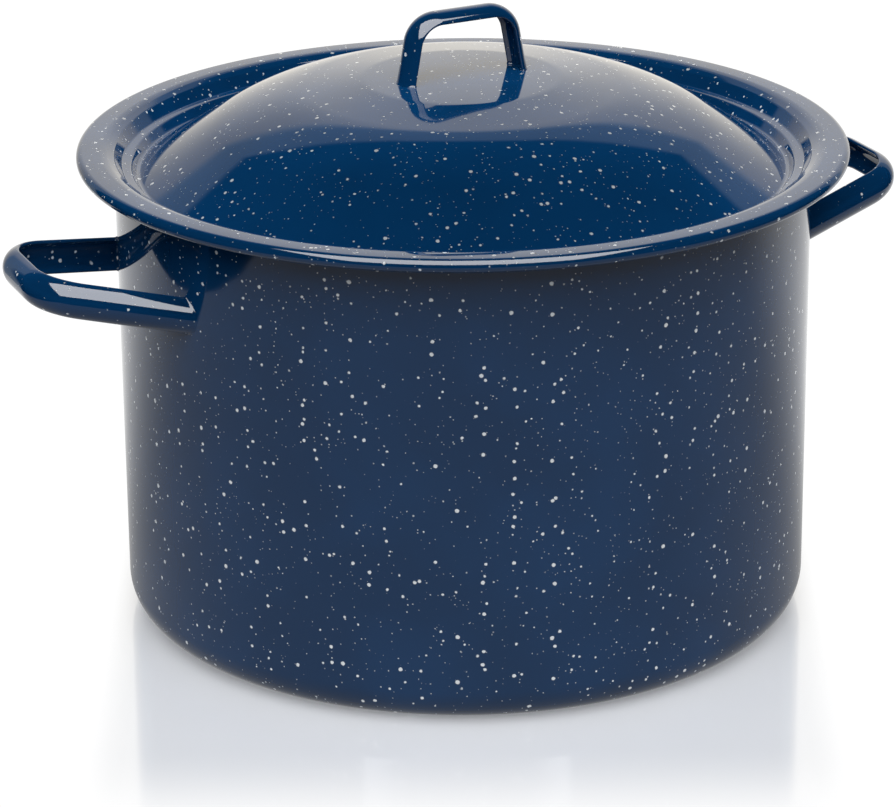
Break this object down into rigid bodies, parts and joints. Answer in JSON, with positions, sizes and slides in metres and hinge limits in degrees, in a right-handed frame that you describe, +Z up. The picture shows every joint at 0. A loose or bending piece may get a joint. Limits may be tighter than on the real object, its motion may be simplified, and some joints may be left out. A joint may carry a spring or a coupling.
{
  "type": "stock pot",
  "caption": "Tall straight-sided enamelled steel stock pot with two welded strap handles and a loose domed lid with a wide rolled brim and an arched strap handle.",
  "frame": {"origin": "on the floor, on the pot's vertical axis", "axes": "+Z up the pot's axis, +X towards the right side handle, so that both side handles lie along X, and +Y towards the back"},
  "size_m": [0.3798, 0.31, 0.2492],
  "materials": {
    "body_enamel": "glossy navy vitreous enamel with fine white specks, on steel sheet",
    "lid_enamel": "glossy navy vitreous enamel with fine white specks, on steel sheet",
    "handle_enamel": "glossy navy vitreous enamel with a few white specks, on pressed steel strap"
  },
  "bodies": {
    "pot": {"pot_body": "body_enamel", "left_side_handle": "handle_enamel", "right_side_handle": "handle_enamel"},
    "lid": {"lid_shell": "lid_enamel", "lid_handle": "handle_enamel"}
  },
  "joints": [
    {"name": "lid_lift", "type": "slide", "parent": "pot", "child": "lid", "axis": [0, 0, 1], "range_m": [0, 0.3]}
  ]
}
